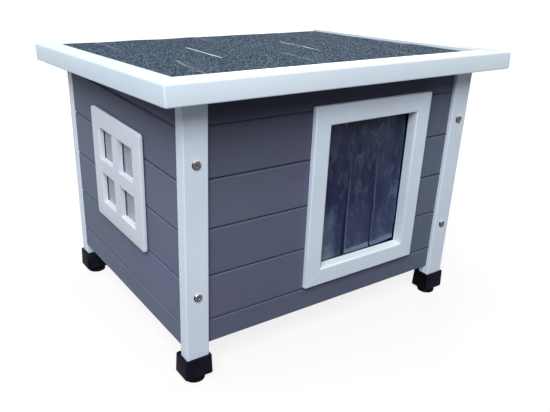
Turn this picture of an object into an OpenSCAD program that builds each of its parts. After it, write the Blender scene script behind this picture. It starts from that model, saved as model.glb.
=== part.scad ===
// Outdoor cat house: a boarded cabin on four capped posts, with a framed doorway
// behind clear strips, a four-light window and a felted roof that lifts on hinges.
// X runs to the right along the front, Y to the back, Z up from the ground.

/* [Cabin] */
// Width of the cabin over its posts
cabin_w = 494; // [420:1:620]
// Length of the cabin from front to back over its posts
cabin_l = 389; // [320:1:520]
// Width of a post on its front face
post_w = 33; // [28:1:45]
// Thickness of a post
post_t = 19; // [17:0.5:26]
// Round on the posts' long edges
post_round = 1.5; // [0.5:0.5:3]
// Height of the walls' lower edge above the ground
wall_z = 53; // [46:1:80]
// Side of the square cleats in the inner corners
cleat_w = 18; // [12:1:24]

/* [Wall boards] */
// Thickness of a wall board
board_t = 9; // [8:0.5:12]
// Height of the lowest row of boards
first_row_h = 36.5; // [30:0.5:50]
// Height of each row of boards above it
row_h = 66.5; // [61:0.5:68]
// Depth of the front and back boards behind the posts' faces
front_recess = 6; // [3:0.5:7]
// Depth of the side boards behind the posts' sides
side_recess = 1; // [0.5:0.5:4]
// Depth of the grooves in the posts that hold the board ends
post_groove = 8; // [5:0.5:10]
// Height of a board's tongue
tongue_h = 4; // [2:0.5:6]
// Thickness of a board's tongue
tongue_t = 3; // [2:0.25:3.5]
// Play of a tongue in its groove
tongue_play = 0.1; // [0.05:0.05:0.3]
// Gap between one board and the next above it
board_seam = 0.9; // [0.1:0.05:1.2]
// Least height of wood that a board keeps above or below an opening
board_cover = 10; // [6:1:14]
// Size of the bevel along a board's outer edges
board_bevel = 1.8; // [0.6:0.2:2.4]

/* [Doorway] */
// Place of the doorway's middle, to the right of the cabin's middle
door_x = 52.5; // [30:0.5:60]
// Clear width of the doorway
door_w = 163; // [140:1:180]
// Clear height of the doorway
door_h = 216; // [190:1:225]
// Height of the doorway's sill above the ground
door_z = 119.5; // [112:0.5:130]
// Thickness of the door frame in front of the boards
door_frame_t = 8; // [5:0.5:12]
// Round on the door frame's outer corners
door_corner = 1.5; // [0.5:0.5:5]

/* [Window] */
// Clear width and height of the window
window_w = 115; // [90:1:150]
// Height of the window's sill above the ground
window_z = 180; // [172:1:190]
// Thickness of the window frame in front of the boards
window_frame_t = 7; // [5:0.5:10]
// Depth of the window frame's lining in the wall
window_lining_l = 9; // [7:0.5:10]
// Width of the bars between the panes
muntin_w = 19.5; // [12:0.5:24]
// Thickness of the clear sheet in the window
pane_t = 1.5; // [1:0.25:3]
// Depth of the clear sheet behind the wall's face
pane_in = 1.5; // [1:0.25:2.5]
// Lap of the clear sheet into the frame's groove
pane_lap = 3; // [2:0.1:3.5]
// Round on the window frame's outer corners
window_corner = 4.5; // [1:0.5:8]

/* [Frames] */
// Width of the door and window frame boards
frame_w = 26.7; // [20:0.1:32]
// Thickness of the frames' lining inside the wall
lining_t = 6; // [4:0.5:8]
// Round on the frames' front edges
frame_round = 2; // [0.5:0.5:3]

/* [Strip curtain] */
// Number of strips is three: this is the gap beside each of them
strip_gap = 0.8; // [0.5:0.1:2]
// Thickness of a strip
strip_t = 2; // [1:0.25:2.5]
// Height of the strips' lower ends above the sill
strip_lift = 1.5; // [1.2:0.1:4]
// Thickness of the rail behind the wall
rail_t = 4; // [3:0.5:6]
// Height of the rail and its clamp
rail_h = 20; // [14:1:24]
// Length of the rail past the doorway at each side
rail_lap = 12; // [9:1:20]
// Thickness of the bar that clamps the strips
clamp_t = 5; // [3:0.5:7]
// Clearance over the strips' hinge line
strip_play = 0.4; // [0.3:0.1:0.8]

/* [Floor] */
// Thickness of the floor panel
floor_t = 9; // [6:0.5:12]
// Height of the bearers under the floor
bearer_h = 18; // [14:1:20]
// Width of the bearers under the floor
bearer_w = 16; // [12:1:24]

/* [Roof] */
// Reach of the roof past the posts at each side
side_reach = 38; // [32:1:60]
// Height of the roof's front top edge above the ground
roof_z = 419; // [412:1:450]
// Fall of the roof to the back, in degrees
roof_fall = 3.7; // [2:0.1:5]
// Reach of the roof in front of the posts
roof_reach = 37; // [32:1:60]
// Reach of the roof behind the posts
back_reach = 20; // [14:1:30]
// Height of the trim round the roof
trim_h = 25; // [22:0.5:36]
// Width of the side trims
side_trim_w = 30; // [18:1:32]
// Width of the front trim
front_trim_w = 42; // [24:1:46]
// Thickness of the trims' lips below the deck
lip_t = 20; // [14:1:24]
// Round on the trims' outer edges
trim_round = 2; // [0.5:0.5:3]
// Thickness of the roof deck
deck_t = 9; // [6:0.5:12]
// Thickness of the roofing felt
felt_t = 2.5; // [2.25:0.25:3.5]
// Depth of the felt below the trim's top
felt_drop = 3.5; // [1:0.25:5]
// Turn-down of the felt over the deck's back edge
felt_turn = 7; // [3:0.5:9]
// Depth that the front course of shingles shows
first_course_l = 140; // [100:1:160]
// Depth that each course behind it shows
course_l = 132; // [100:1:160]
// Width of a shingle tab
tab_w = 176; // [120:1:200]
// Place of the first course's middle slot to the right of the roof's middle
slot_x = -15; // [-80:1:80]
// Lean of the first course's slots, in degrees from the roof's fall; the others lean less
slot_lean = 9; // [0:0.5:10]
// Width of the slots between the tabs
slot_w = 5; // [3:0.5:8]
// Depth of the slots, and of the step from one course down to the next
slot_t = 1; // [0.6:0.1:1.4]
// Gap under the deck for the hinge leaves over the back wall
leaf_gap = 1.8; // [1.6:0.1:3]

/* [Hinges] */
// Place of each hinge's middle to the left and right of the cabin's middle
hinge_x = 150; // [90:1:170]
// Length of a hinge
hinge_l = 44; // [36:1:60]
// Width of a hinge leaf from the pin's middle
leaf_w = 22; // [18:0.5:24]
// Thickness of a hinge leaf
leaf_t = 1.2; // [1.1:0.1:1.4]
// Radius of the hinge knuckles
knuckle_r = 2.8; // [2.6:0.1:3.2]
// Radius of the hinge pin
hinge_pin_r = 1.25; // [1:0.05:1.4]
// Height of the rail that the hinges are screwed to
hinge_rail_h = 26; // [24:1:34]

/* [Feet] */
// Height of the caps under the posts
cap_h = 29.5; // [26:0.5:40]
// Wall of a cap beside the post
cap_wall = 3.5; // [2.5:0.25:5]
// Wall of a cap on the inner side of the post
cap_back = 9.5; // [6:0.5:11]
// Floor of a cap under the post
cap_floor = 7; // [5:0.5:9]
// Radius of a levelling foot
pad_r = 14.5; // [10:0.5:15]
// Thickness of a levelling foot
pad_t = 5; // [4:0.5:6]
// Gap between a levelling foot and its cap
pad_gap = 4.5; // [2.8:0.1:6]
// Radius of a levelling foot's stud
stud_r = 3; // [2.5:0.25:3.5]
// Length of a levelling foot's stud
stud_l = 27; // [24:1:30]

/* [Screws] */
// Height of the posts' lower screws above the ground
low_screw_z = 133; // [110:1:160]
// Height of the posts' upper screws above the ground
high_screw_z = 313; // [280:1:340]
// Radius of the posts' screw heads
screw_head_r = 5.8; // [4:0.2:6]
// Height of the posts' screw heads
screw_head_h = 2.4; // [1.5:0.1:3]
// Round on the posts' screw heads
screw_head_round = 1.2; // [0.5:0.1:1.4]
// Radius of a screw's shank
screw_r = 2; // [1.5:0.1:2.4]
// Length of a post screw in the wood
screw_l = 32; // [26:1:36]

/* [Hidden] */

white_paint = [0.93, 0.94, 0.95];
grey_paint = [0.36, 0.38, 0.46];
bare_wood = [0.80, 0.67, 0.48];
felt_grey = [0.38, 0.44, 0.50];
black_plastic = [0.08, 0.08, 0.09];
steel = [0.75, 0.76, 0.78];
clear_blue = [0.62, 0.72, 0.85, 0.5];

big = 1200;
skin = 1;
play = 0.08;
body_gap = 0.3;
arc_steps = 4;
strip_count = 3;
row_count = 6;

// Roof: its own frame lies in the trim's top face, with its origin at the middle
// of the front top edge, so that the whole house is centred on the origin.
trim_lean = trim_h * sin(roof_fall);
roof_w = cabin_w + 2 * side_reach;
roof_l = (cabin_l + roof_reach + back_reach - trim_lean) / cos(roof_fall);
roof_y = (trim_lean - roof_l * cos(roof_fall)) / 2;
deck_top = felt_drop + felt_t;
deck_under = deck_top + deck_t;
deck_w = roof_w - 2 * side_trim_w;

// Shingles: course 1 lies behind the front trim, and a slot is slot_low deep at its front
course_count = max(2, 1 + round((roof_l - front_trim_w - first_course_l) / course_l));
tab_count = ceil(deck_w / tab_w);
slot_low = 0.5;
function course_y(course) =
    course == 0 ? front_trim_w
    : course == course_count ? roof_l
    : front_trim_w + first_course_l + (course - 1) * course_l;

// Cabin: the posts' front and back faces
front_y = roof_y - trim_lean + roof_reach;
back_y = front_y + cabin_l;
mid_y = (front_y + back_y) / 2;
front_wall_l = cabin_w - 2 * post_w + 2 * post_groove;
side_wall_l = cabin_l - 2 * post_t;
inner_w = cabin_w - 2 * (side_recess + board_t);
inner_l = cabin_l - 2 * (front_recess + board_t);

// Hinge line, one knuckle outside the back rail and under the deck
hinge_off = knuckle_r + body_gap;
hinge_y = back_y + hinge_off;
hinge_z = deck_under_z(hinge_y) - hinge_off / cos(roof_fall);
knuckle_l = (hinge_l - 2 * body_gap) / 3;
leaf_screw_r = 1.5;
leaf_head_r = 2.8;
leaf_head_h = 1;
leaf_screw_l = 6;
leaf_screw_inset = 8;

// Feet
cap_w = post_w + 2 * cap_wall;
cap_l = post_t + cap_wall + cap_back;
cap_z = pad_t + pad_gap;
post_z = cap_z + cap_floor;
foot_x = post_w / 2;
foot_y = cap_l / 2 - cap_wall;
stud_hole_l = cap_z - cap_floor + stud_l;
pad_bevel = 1.2;

// Doorway and curtain
door_left = door_x - door_w / 2;
door_right = door_x + door_w / 2;
door_cut = lining_t;
strip_w = (door_w - (strip_count + 1) * strip_gap) / strip_count;
strip_y = front_recess + board_t + rail_t + strip_t / 2;
rail_z = door_z + door_h + strip_play;
strip_hinge_z = rail_z - strip_play - strip_t / 2;
strip_hem_z = door_z + strip_lift;

// Window
sheet_w = window_w + 2 * pane_lap;
window_mid_z = window_z + window_w / 2;

function deck_under_z(y) =
    roof_z - deck_under * cos(roof_fall)
    - (y - roof_y + deck_under * sin(roof_fall)) * tan(roof_fall);
function row_z(row) =
    row == 1 ? wall_z : row > row_count ? roof_z : wall_z + first_row_h + (row - 2) * row_h;

// Lower edges of a wall's rows, and the roof's height last. Where a wall has an opening,
// the board at its foot and the board over its head each keep some wood beside it.
plain_rows = [for (row = [1:row_count + 1]) row_z(row)];
function rows_round(foot_row, low, high) = [for (row = [1:row_count + 1])
    row == foot_row ? min(row_z(row), low - board_cover)
    : row == row_count ? max(row_z(row), high + board_cover)
    : row_z(row)];
front_rows = rows_round(2, door_z - door_cut, door_z + door_h + door_cut);
left_rows = rows_round(3, window_z - lining_t, window_z + window_w + lining_t);
function arc(x, y, r, a, b) =
    [for (i = [0:arc_steps]) let (t = a + (b - a) * i / arc_steps) [x + r * cos(t), y + r * sin(t)]];

// Cross-section of a tongued and grooved board: [depth behind the face, height]
function board_section(rows, row) =
    let (z0 = rows[row - 1], z1 = rows[row] - board_seam, mid = board_t / 2, half = tongue_t / 2)
    concat(
        [[board_t, z0]],
        row > 1 ? [
            [mid + half, z0],
            [mid + half, z0 + tongue_h],
            [mid - half, z0 + tongue_h],
            [mid - half, z0]] : [],
        [[board_bevel, z0], [0, z0 + board_bevel], [0, z1 - board_bevel], [board_bevel, z1]],
        row < row_count ? [
            [mid - half + tongue_play, z1],
            [mid - half + tongue_play, z1 + tongue_h - tongue_play],
            [mid + half - tongue_play, z1 + tongue_h - tongue_play],
            [mid + half - tongue_play, z1]] : [],
        [[board_t, z1]]);

// Cross-section of a frame board with its lining: [depth, distance from the opening]
function frame_section(front_t, lining_l, groove) =
    concat(
        arc(-front_t + frame_round, frame_w - frame_round, frame_round, 90, 180),
        arc(-front_t + frame_round, frame_round, frame_round, 180, 270),
        groove,
        [[lining_l, 0], [lining_l, lining_t], [0, lining_t], [0, frame_w]]);

// The groove in the window frame's lining that holds the clear sheet
function pane_groove() =
    let (y0 = pane_in - play, y1 = pane_in + pane_t + play, depth = pane_lap + play)
    [[y0, 0], [y0, depth], [y1, depth], [y1, 0]];

// Extrudes a [y, z] outline along X from x0 to x1
module along_x(x0, x1) {
    translate([x0, 0, 0]) rotate([90, 0, 90]) linear_extrude(x1 - x0) children();
}

// Each wall is drawn as if it were the front: X to the viewer's right, Y inwards
module front_wall() { translate([0, front_y + front_recess, 0]) children(); }
module back_wall() { translate([0, back_y - front_recess, 0]) rotate([0, 0, 180]) children(); }
module left_wall() {
    translate([-cabin_w / 2 + side_recess, mid_y, 0]) rotate([0, 0, -90]) children();
}
module right_wall() {
    translate([cabin_w / 2 - side_recess, mid_y, 0]) rotate([0, 0, 90]) children();
}

// The roof's own frame, and the cut that leaves a gap between it and what is under it
module in_roof() { translate([0, roof_y, roof_z]) rotate([-roof_fall, 0, 0]) children(); }
module under_roof(gap = body_gap) {
    difference() {
        children();
        in_roof() translate([-big / 2, -big / 2, -deck_under - gap]) cube(big);
    }
}

// Puts a corner piece, drawn at the front left post's outer front corner, at a corner
module at_corner(side, back) {
    translate([side * cabin_w / 2, back ? back_y : front_y, 0])
        mirror([side > 0 ? 1 : 0, 0, 0]) mirror([0, back ? 1 : 0, 0]) children();
}

module each_hinge() {
    for (side = [-1, 1]) translate([side * hinge_x, hinge_y, hinge_z]) children();
}

// Wall boards
module front_row(row, x0 = -front_wall_l / 2, x1 = front_wall_l / 2) {
    color(grey_paint) under_roof() front_wall() difference() {
        along_x(x0, x1) polygon(board_section(front_rows, row));
        door_hole();
    }
}

module left_row(row, x0 = -side_wall_l / 2, x1 = side_wall_l / 2) {
    color(grey_paint) under_roof() left_wall() difference() {
        along_x(x0, x1) polygon(board_section(left_rows, row));
        window_hole();
    }
}

module door_hole() {
    translate([door_x - door_w / 2 - door_cut, -skin, door_z - door_cut])
        cube([door_w + 2 * door_cut, board_t + 2 * skin, door_h + 2 * door_cut]);
}

module window_hole() {
    hole_w = window_w + 2 * lining_t;
    translate([-hole_w / 2, -skin, window_z - lining_t]) cube([hole_w, board_t + 2 * skin, hole_w]);
}

module plain_boards(l) {
    for (row = [1:row_count]) along_x(-l / 2, l / 2) polygon(board_section(plain_rows, row));
}

module right_boards() { color(grey_paint) under_roof() right_wall() plain_boards(side_wall_l); }
module back_boards() { color(grey_paint) under_roof(leaf_gap) back_wall() plain_boards(front_wall_l); }

// Posts, their caps and levelling feet
module post(side, back) {
    color(white_paint) under_roof() at_corner(side, back) difference() {
        translate([0, 0, post_z]) linear_extrude(roof_z - post_z) post_section();
        translate([foot_x, foot_y, post_z - skin]) cylinder(r = stud_r + play, h = stud_hole_l + skin);
        screw_places() screw_bore();
    }
}

module post_section() {
    r = post_round;
    difference() {
        polygon(concat(
            arc(r, r, r, 180, 270),
            arc(post_w - r, r, r, 270, 360),
            [[post_w, post_t]],
            arc(r, post_t - r, r, 90, 180)));
        translate([post_w - post_groove, front_recess]) square([post_groove + skin, board_t]);
    }
}

module foot_cap(side, back) {
    color(black_plastic) at_corner(side, back) translate([0, 0, cap_z]) difference() {
        translate([-cap_wall, -cap_wall, 0]) cap_block();
        translate([0, 0, cap_floor]) cube([post_w, post_t, cap_h]);
        translate([foot_x, foot_y, -skin]) cylinder(r = stud_r + play, h = cap_floor + 2 * skin);
    }
}

module cap_block() {
    r = post_round;
    linear_extrude(cap_h) polygon(concat(
        arc(r, r, r, 180, 270),
        arc(cap_w - r, r, r, 270, 360),
        arc(cap_w - r, cap_l - r, r, 0, 90),
        arc(r, cap_l - r, r, 90, 180)));
}

module levelling_foot(side, back) {
    color(black_plastic) at_corner(side, back) translate([foot_x, foot_y, 0]) {
        rotate_extrude() polygon([
            [0, 0],
            [pad_r - pad_bevel, 0],
            [pad_r, pad_bevel],
            [pad_r, pad_t - pad_bevel],
            [pad_r - pad_bevel, pad_t],
            [stud_r, pad_t],
            [stud_r, pad_t + stud_l],
            [0, pad_t + stud_l]]);
    }
}

// Corner cleats stand on the bearers' ends and back up the posts and side boards
module corner_cleats() {
    color(bare_wood) under_roof() for (side = [-1, 1]) for (back = [false, true])
        at_corner(side, back) difference() {
            translate([side_recess + board_t, post_t, wall_z]) cube([cleat_w, cleat_w, roof_z - wall_z]);
            screw_places() screw_bore();
        }
}

module floor_bearers() {
    color(bare_wood) for (side = [-1, 1])
        translate([
            side > 0 ? inner_w / 2 - bearer_w : -inner_w / 2,
            front_y + post_t + cleat_w,
            wall_z])
        cube([bearer_w, side_wall_l - 2 * cleat_w, bearer_h]);
}

module floor_panel() {
    notch_x = max(cleat_w, post_w - side_recess - board_t) + body_gap;
    notch_y = post_t - front_recess - board_t + cleat_w + body_gap;
    color(bare_wood) difference() {
        translate([-inner_w / 2, mid_y - inner_l / 2, wall_z + bearer_h]) cube([inner_w, inner_l, floor_t]);
        for (side = [-1, 1]) for (end = [-1, 1])
            translate([
                side * (inner_w / 2 - notch_x / 2 + skin / 2),
                mid_y + end * (inner_l / 2 - notch_y / 2 + skin / 2),
                wall_z + bearer_h + floor_t / 2])
            cube([notch_x + skin, notch_y + skin, floor_t + 2 * skin], center = true);
    }
}

// One mitred frame board along X, its opening edge at z = 0
module frame_board(open_l, front_t, lining_l, corner, groove) {
    color(white_paint) intersection() {
        along_x(-open_l / 2 - frame_w, open_l / 2 + frame_w)
            polygon(frame_section(front_t, lining_l, groove));
        translate([0, lining_l + skin, 0]) rotate([90, 0, 0])
            linear_extrude(front_t + lining_l + 2 * skin) polygon(concat(
                [[-open_l / 2, 0], [open_l / 2, 0]],
                arc(open_l / 2 + frame_w - corner, frame_w - corner, corner, 45, 90),
                arc(-open_l / 2 - frame_w + corner, frame_w - corner, corner, 90, 135)));
    }
}

module door_board(place, turn, open_l) {
    front_wall() translate(place) rotate([0, turn, 0])
        frame_board(open_l, door_frame_t, board_t, door_corner, []);
}
module door_frame_head() { door_board([door_x, 0, door_z + door_h], 0, door_w); }
module door_frame_sill() { door_board([door_x, 0, door_z], 180, door_w); }
module door_frame_left() { door_board([door_x - door_w / 2, 0, door_z + door_h / 2], -90, door_h); }
module door_frame_right() { door_board([door_x + door_w / 2, 0, door_z + door_h / 2], 90, door_h); }

module window_board(place, turn) {
    left_wall() translate(place) rotate([0, turn, 0])
        frame_board(window_w, window_frame_t, window_lining_l, window_corner, pane_groove());
}
module window_frame_head() { window_board([0, 0, window_z + window_w], 0); }
module window_frame_sill() { window_board([0, 0, window_z], 180); }
module window_frame_back() { window_board([-window_w / 2, 0, window_mid_z], -90); }
module window_frame_front() { window_board([window_w / 2, 0, window_mid_z], 90); }

// The bars stand before and behind the clear sheet, and are halved into each other where
// they cross
module muntin(turn, front_half) {
    color(white_paint) left_wall() translate([0, 0, window_mid_z]) rotate([0, turn, 0])
        for (bar = [[-window_frame_t, pane_in], [pane_in + pane_t, window_lining_l]])
            translate([0, bar[0], 0]) halved_bar(bar[1] - bar[0], front_half);
}

module halved_bar(t, front_half) {
    difference() {
        translate([-window_w / 2, 0, -muntin_w / 2]) cube([window_w, t, muntin_w]);
        translate([-muntin_w / 2, front_half ? t / 2 : -skin, -muntin_w])
            cube([muntin_w, t / 2 + skin, 2 * muntin_w]);
    }
}

module window_pane() {
    color(clear_blue) left_wall() translate([-sheet_w / 2, pane_in, window_mid_z - sheet_w / 2])
        cube([sheet_w, pane_t, sheet_w]);
}

// Strip curtain: the rail is fixed behind the wall, and the clamp behind the rail
module behind_door(y, z, t, h) {
    l = door_w + 2 * rail_lap;
    color(bare_wood) translate([door_x - l / 2, front_y + y, z]) cube([l, t, h]);
}
module curtain_rail() { behind_door(front_recess + board_t, rail_z, rail_t, rail_h); }
module curtain_clamp() { behind_door(front_recess + board_t + rail_t, rail_z, clamp_t, rail_h); }

// A strip hangs from a rounded top edge that turns in the strip's hinge line
module curtain_strip(index) {
    x0 = door_x - door_w / 2 + strip_gap + index * (strip_w + strip_gap);
    color(clear_blue) translate([x0, front_y + strip_y, 0]) {
        translate([0, 0, strip_hinge_z]) rotate([0, 90, 0]) cylinder(d = strip_t, h = strip_w);
        translate([0, -strip_t / 2, strip_hem_z]) cube([strip_w, strip_t, strip_hinge_z - strip_hem_z]);
    }
}

// Roof
module roof_deck() {
    color(bare_wood) difference() {
        in_roof() translate([-deck_w / 2, front_trim_w, -deck_under])
            cube([deck_w, roof_l - front_trim_w - felt_t, deck_t]);
        each_hinge() as_moving_leaf() leaf_screw_places() leaf_screw_bore();
    }
}

// The shingles lie on the deck, and the last course turns down over its back edge. Each
// course laps over the one behind it, so its top rises to its rear edge and steps down there.
module roof_felt() {
    low = -felt_drop - slot_t;
    color(felt_grey) in_roof() difference() {
        along_x(-deck_w / 2, deck_w / 2) polygon(concat(
            [[front_trim_w, -deck_top], [front_trim_w, low]],
            [for (course = [1:course_count - 1]) each [
                [course_y(course), -felt_drop],
                [course_y(course), low]]],
            [[roof_l, -felt_drop],
                [roof_l, -deck_top - felt_turn],
                [roof_l - felt_t, -deck_top - felt_turn],
                [roof_l - felt_t, -deck_top]]));
        for (course = [1:course_count]) shingle_slots(course);
    }
}

module shingle_slots(course) {
    y0 = course_y(course - 1);
    y1 = course_y(course) + (course == course_count ? skin : 0);
    lean = (y1 - y0) * tan(slot_lean / course) / 2;
    shift = slot_x - slot_w / 2 + (course % 2 == 1 ? 0 : tab_w / 2);
    translate([0, 0, -felt_drop - slot_t - slot_low]) linear_extrude(felt_t)
        for (i = [-tab_count:tab_count]) translate([i * tab_w + shift, 0]) polygon([
            [-lean, y0],
            [slot_w - lean, y0],
            [slot_w + lean, y1],
            [lean, y1]]);
}

// Trim section: [distance in from the outer face, height], rounded at the outer edges
// and cut back under the deck's level to a lip
function trim_section(w) =
    concat(
        arc(trim_round, -trim_round, trim_round, 90, 180),
        arc(trim_round, -trim_h + trim_round, trim_round, 180, 270),
        [[lip_t, -trim_h], [lip_t, -deck_under], [w, -deck_under], [w, 0]]);

module roof_trim_front() {
    color(white_paint) in_roof() intersection() {
        along_x(-roof_w / 2, roof_w / 2) polygon(trim_section(front_trim_w));
        translate([0, 0, -trim_h - skin]) linear_extrude(trim_h + 2 * skin) polygon([
            [-roof_w / 2, 0],
            [roof_w / 2, 0],
            [deck_w / 2, front_trim_w],
            [-deck_w / 2, front_trim_w]]);
    }
}

module roof_trim_side(side) {
    color(white_paint) in_roof() mirror([side > 0 ? 1 : 0, 0, 0]) intersection() {
        translate([-roof_w / 2, roof_l, 0]) rotate([90, 0, 0])
            linear_extrude(roof_l) polygon(trim_section(side_trim_w));
        translate([0, 0, -trim_h - skin]) linear_extrude(trim_h + 2 * skin) polygon([
            [-roof_w / 2, 0],
            [-deck_w / 2, front_trim_w],
            [-deck_w / 2, roof_l],
            [-roof_w / 2, roof_l]]);
    }
}

// Hinges: the fixed leaf lies on the rail and the moving leaf under the deck
module hinge_rail() {
    l = cabin_w - 2 * post_w;
    color(white_paint) under_roof(leaf_gap) difference() {
        translate([-l / 2, back_y - front_recess, hinge_z - hinge_rail_h])
            cube([l, front_recess, 2 * hinge_rail_h]);
        each_hinge() leaf_screw_places() leaf_screw_bore();
    }
}

// A leaf hangs down from the pin's line, with its far face hinge_off from that line
module hinge_leaf(spans) {
    color(steel) difference() {
        union() {
            translate([-hinge_l / 2, -hinge_off, -leaf_w])
                cube([hinge_l, leaf_t, leaf_w - knuckle_r - body_gap]);
            for (span = spans) {
                translate([span[0], -hinge_off, -knuckle_r - body_gap - play])
                    cube([span[1] - span[0], leaf_t, knuckle_r + body_gap + play]);
                translate([span[0], 0, 0]) rotate([0, 90, 0])
                    cylinder(r = knuckle_r, h = span[1] - span[0]);
            }
        }
        translate([-hinge_l, 0, 0]) rotate([0, 90, 0])
            cylinder(r = hinge_pin_r + play / 2, h = 2 * hinge_l);
        leaf_screw_places() {
            translate([0, 0, -skin]) cylinder(r = leaf_screw_r, h = leaf_t + 2 * skin);
            translate([0, 0, leaf_t - leaf_head_h])
                cylinder(r1 = leaf_screw_r, r2 = leaf_head_r, h = leaf_head_h);
        }
    }
}

module leaf_screw_places() {
    for (side = [-1, 1])
        translate([side * (hinge_l / 2 - leaf_screw_inset), -hinge_off, -leaf_w / 2 - knuckle_r])
        rotate([-90, 0, 0]) children();
}

module leaf_screw_bore() {
    translate([0, 0, -leaf_screw_l]) cylinder(r = leaf_screw_r, h = leaf_screw_l + skin);
}

// The heads lie flush in the leaves
module leaf_screws() {
    color(steel) leaf_screw_places() {
        translate([0, 0, leaf_t - leaf_head_h])
            cylinder(r1 = leaf_screw_r - play / 2, r2 = leaf_head_r - play / 2, h = leaf_head_h);
        translate([0, 0, -leaf_screw_l])
            cylinder(r = leaf_screw_r - play / 2, h = leaf_screw_l + leaf_t - leaf_head_h);
    }
}

module as_moving_leaf() { rotate([-90 - roof_fall, 0, 0]) children(); }

module hinge_wall_leaves() {
    each_hinge() hinge_leaf([
        [-hinge_l / 2, -hinge_l / 2 + knuckle_l],
        [hinge_l / 2 - knuckle_l, hinge_l / 2]]);
}
module hinge_roof_leaves() {
    each_hinge() as_moving_leaf() hinge_leaf([[-knuckle_l / 2, knuckle_l / 2]]);
}
module hinge_pins() {
    color(steel) each_hinge() translate([-hinge_l / 2, 0, 0]) rotate([0, 90, 0])
        cylinder(r = hinge_pin_r, h = hinge_l);
}
module hinge_wall_screws() { each_hinge() leaf_screws(); }
module hinge_roof_screws() { each_hinge() as_moving_leaf() leaf_screws(); }

// Post screws run through the posts into the cleats behind them
module screw_places() {
    for (z = [low_screw_z, high_screw_z]) translate([post_w / 2, 0, z]) rotate([-90, 0, 0]) children();
}
module screw_bore() { translate([0, 0, -skin]) cylinder(r = screw_r, h = screw_l + skin); }

module post_screws() {
    color(steel) for (side = [-1, 1]) for (back = [false, true]) at_corner(side, back) screw_places() {
        rotate_extrude() polygon(concat(
            [[0, 0], [0, -screw_head_h]],
            arc(screw_head_r - screw_head_round, screw_head_round - screw_head_h,
                screw_head_round, 270, 360),
            [[screw_head_r, 0]]));
        cylinder(r = screw_r - play / 2, h = screw_l);
    }
}

post(-1, false);  // post_front_left
post(1, false);  // post_front_right
post(-1, true);  // post_back_left
post(1, true);  // post_back_right
foot_cap(-1, false);  // foot_cap_front_left
foot_cap(1, false);  // foot_cap_front_right
foot_cap(-1, true);  // foot_cap_back_left
foot_cap(1, true);  // foot_cap_back_right
levelling_foot(-1, false);  // levelling_foot_front_left
levelling_foot(1, false);  // levelling_foot_front_right
levelling_foot(-1, true);  // levelling_foot_back_left
levelling_foot(1, true);  // levelling_foot_back_right
front_row(1);  // front_board_1
front_row(2);  // front_board_2
front_row(3, x1 = door_left);  // front_board_3_left
front_row(3, x0 = door_right);  // front_board_3_right
front_row(4, x1 = door_left);  // front_board_4_left
front_row(4, x0 = door_right);  // front_board_4_right
front_row(5);  // front_board_5
front_row(6);  // front_board_6
left_row(1);  // left_board_1
left_row(2);  // left_board_2
left_row(3);  // left_board_3
left_row(4, x1 = 0);  // left_board_4_back
left_row(4, x0 = 0);  // left_board_4_front
left_row(5);  // left_board_5
left_row(6);  // left_board_6
right_boards();
back_boards();
corner_cleats();
floor_bearers();
floor_panel();
door_frame_head();
door_frame_sill();
door_frame_left();
door_frame_right();
curtain_rail();
curtain_clamp();
curtain_strip(0);  // curtain_strip_left
curtain_strip(1);  // curtain_strip_middle
curtain_strip(2);  // curtain_strip_right
window_frame_head();
window_frame_sill();
window_frame_back();
window_frame_front();
muntin(90, false);  // muntin_upright
muntin(0, true);  // muntin_cross
window_pane();
roof_deck();
roof_felt();
roof_trim_front();
roof_trim_side(-1);  // roof_trim_left
roof_trim_side(1);  // roof_trim_right
hinge_rail();
hinge_wall_leaves();
hinge_roof_leaves();
hinge_pins();
hinge_wall_screws();
hinge_roof_screws();
post_screws();
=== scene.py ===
import math
import random

import bmesh
import bpy
from mathutils import Matrix, Vector


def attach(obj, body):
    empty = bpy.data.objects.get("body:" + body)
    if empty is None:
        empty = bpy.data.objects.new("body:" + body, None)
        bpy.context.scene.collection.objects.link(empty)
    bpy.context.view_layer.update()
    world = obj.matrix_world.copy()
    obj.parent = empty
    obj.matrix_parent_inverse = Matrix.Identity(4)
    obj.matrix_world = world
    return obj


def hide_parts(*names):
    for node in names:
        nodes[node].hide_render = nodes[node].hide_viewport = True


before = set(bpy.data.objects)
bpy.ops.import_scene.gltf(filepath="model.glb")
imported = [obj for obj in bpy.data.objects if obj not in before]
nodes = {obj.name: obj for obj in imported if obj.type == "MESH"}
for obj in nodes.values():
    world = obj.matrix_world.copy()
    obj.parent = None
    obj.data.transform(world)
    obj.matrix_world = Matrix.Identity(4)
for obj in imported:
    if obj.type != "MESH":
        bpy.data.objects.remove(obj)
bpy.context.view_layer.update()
print("frame loaded:", len(nodes), "nodes")

bpy.context.scene.view_settings.view_transform = "Standard"


def show(thing):
    bpy.context.scene.collection.objects.link(thing)


camera = {
    "place": (-0.57089, -0.82289, 0.56976),
    "turn": (1.140435, -0.053228, -0.635356),
    "focal": 645.437,  # in pixels of the picture
    "middle": (296.703, 225.134),
    "picture": (550, 412),
    "sensor": 36,
    "sees": (0.01, 60),  # from this distance to that one
}


def addCamera(c):
    wide, high = c["picture"]
    data = bpy.data.cameras.new("camera")
    data.sensor_width = c["sensor"]
    data.lens = c["focal"] * data.sensor_width / wide
    data.shift_x = (wide / 2 - c["middle"][0]) / wide
    data.shift_y = (c["middle"][1] - high / 2) / wide
    data.clip_start, data.clip_end = c["sees"]
    thing = bpy.data.objects.new("camera", data)
    thing.location = c["place"]
    thing.rotation_euler = c["turn"]
    show(thing)
    bpy.context.scene.camera = thing


addCamera(camera)
print("camera set")


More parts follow.
